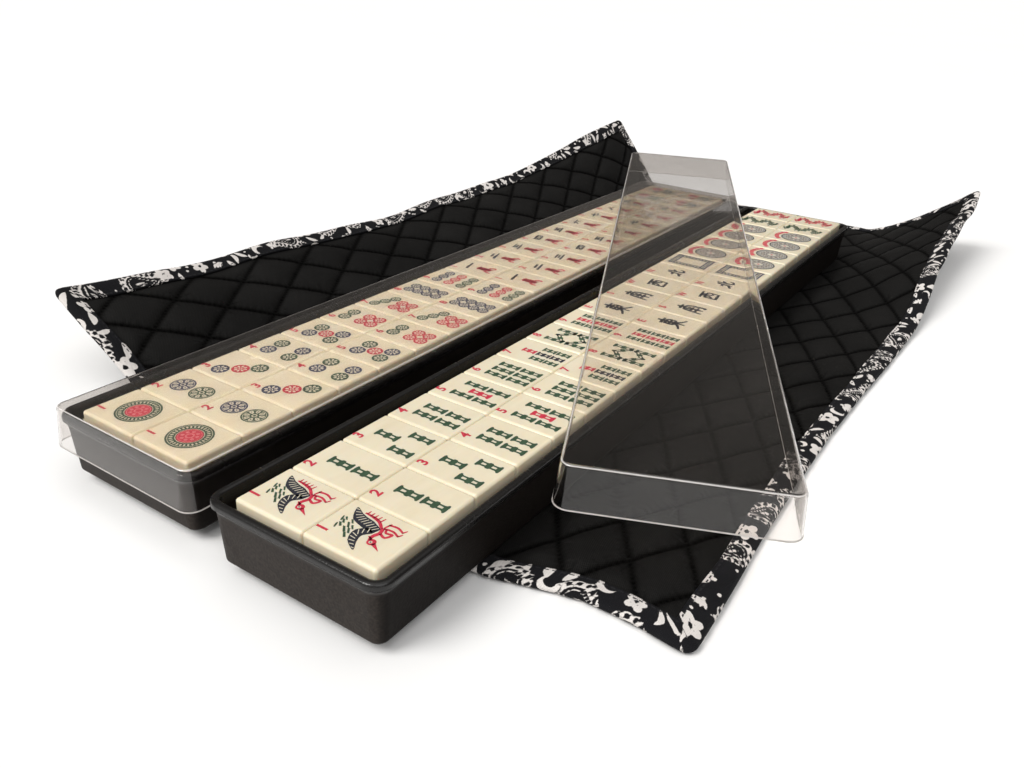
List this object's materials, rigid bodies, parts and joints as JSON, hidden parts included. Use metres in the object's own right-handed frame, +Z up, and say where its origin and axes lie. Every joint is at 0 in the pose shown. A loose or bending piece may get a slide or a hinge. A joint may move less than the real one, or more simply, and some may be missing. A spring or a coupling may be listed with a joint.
{
  "type": "mahjong case",
  "caption": "Open quilted fabric wrap holding two long black trays of mahjong tiles, one under a clear lift-off cover and one with its clear cover lying across.",
  "frame": {"origin": "centre of the flat middle panel's underside, on the table", "axes": "+X across the trays towards the flap that lies flat, +Y along the trays towards their far end, +Z up"},
  "size_m": [0.3437, 0.5934, 0.053],
  "materials": {
    "tray_plastic": "satin black thermoformed plastic",
    "clear_cover": "clear thin rigid film, glossy",
    "tile": "polished cream resin with engraved painted faces",
    "quilted_lining": "black cotton quilted in diamonds",
    "batting": "white fibre wadding",
    "outer_cloth": "black cotton with a white bandana print",
    "print_binding": "black cotton with a white bandana print, turned over the edge"
  },
  "bodies": {
    "wrap_base": {"wrap_base_batting": "batting", "wrap_base_binding_far": "print_binding", "wrap_base_binding_near": "print_binding", "wrap_base_lining": "quilted_lining", "wrap_base_outer": "outer_cloth"},
    "left_flap": {"left_flap_batting": "batting", "left_flap_binding_far": "print_binding", "left_flap_binding_near": "print_binding", "left_flap_binding_side": "print_binding", "left_flap_lining": "quilted_lining", "left_flap_outer": "outer_cloth"},
    "right_flap": {"right_flap_batting": "batting", "right_flap_binding_far": "print_binding", "right_flap_binding_near": "print_binding", "right_flap_binding_side": "print_binding", "right_flap_lining": "quilted_lining", "right_flap_outer": "outer_cloth"},
    "tray_a": {"tray_a": "tray_plastic", "dot_1": "tile", "dot_2": "tile", "dot_3": "tile", "dot_4": "tile", "dot_5": "tile", "dot_6": "tile", "dot_7": "tile", "dot_8": "tile", "dot_9": "tile", "crak_1": "tile", "crak_2": "tile", "crak_3": "tile", "crak_4": "tile", "crak_5": "tile", "crak_6": "tile", "crak_7": "tile", "crak_8": "tile", "crak_9": "tile", "flower_tiles": "tile"},
    "tray_b": {"tray_b": "tray_plastic", "bam_5": "tile", "bam_6": "tile", "bam_7": "tile", "bam_8": "tile", "bam_9": "tile", "wind_east": "tile", "wind_south": "tile", "wind_west": "tile", "wind_north": "tile", "dragon_white": "tile", "joker_tiles": "tile"},
    "cover_a": {"cover_a": "clear_cover"},
    "cover_b": {"cover_b": "clear_cover"},
    "bam_1_tiles": {"bam_1": "tile"},
    "bam_2_tiles": {"bam_2": "tile"},
    "bam_3_tiles": {"bam_3": "tile"},
    "bam_4_tiles": {"bam_4": "tile"},
    "dragon_green_tiles": {"dragon_green": "tile"},
    "dragon_red_tiles": {"dragon_red": "tile"}
  },
  "joints": [
    {"name": "left_flap_fold", "type": "hinge", "parent": "wrap_base", "child": "left_flap", "pos_m": [-0.101, 0, 0.004], "axis": [0, 1, 0], "range_deg": [-23, 38]},
    {"name": "right_flap_fold", "type": "hinge", "parent": "wrap_base", "child": "right_flap", "pos_m": [0.101, 0, 0.004], "axis": [0, -1, 0], "range_deg": [0, 20]},
    {"name": "tray_a_lift", "type": "slide", "parent": "wrap_base", "child": "tray_a", "axis": [0, 0, 1], "range_m": [0, 0.06]},
    {"name": "tray_b_slide", "type": "slide", "parent": "wrap_base", "child": "tray_b", "axis": [0, -1, 0], "range_m": [0, 0.45]},
    {"name": "cover_a_lift", "type": "slide", "parent": "tray_a", "child": "cover_a", "axis": [0, 0, 1], "range_m": [0, 0.06]},
    {"name": "cover_b_lift", "type": "slide", "parent": "cover_a", "child": "cover_b", "axis": [0, 0, 1], "range_m": [0, 0.08]},
    {"name": "bam_1_lift", "type": "slide", "parent": "tray_b", "child": "bam_1_tiles", "axis": [0, 0, 1], "range_m": [0, 0.04]},
    {"name": "bam_2_lift", "type": "slide", "parent": "tray_b", "child": "bam_2_tiles", "axis": [0, 0, 1], "range_m": [0, 0.04]},
    {"name": "bam_3_lift", "type": "slide", "parent": "tray_b", "child": "bam_3_tiles", "axis": [0, 0, 1], "range_m": [0, 0.04]},
    {"name": "bam_4_lift", "type": "slide", "parent": "tray_b", "child": "bam_4_tiles", "axis": [0, 0, 1], "range_m": [0, 0.04]},
    {"name": "dragon_green_lift", "type": "slide", "parent": "tray_b", "child": "dragon_green_tiles", "axis": [0, 0, 1], "range_m": [0, 0.04]},
    {"name": "dragon_red_lift", "type": "slide", "parent": "tray_b", "child": "dragon_red_tiles", "axis": [0, 0, 1], "range_m": [0, 0.04]}
  ]
}
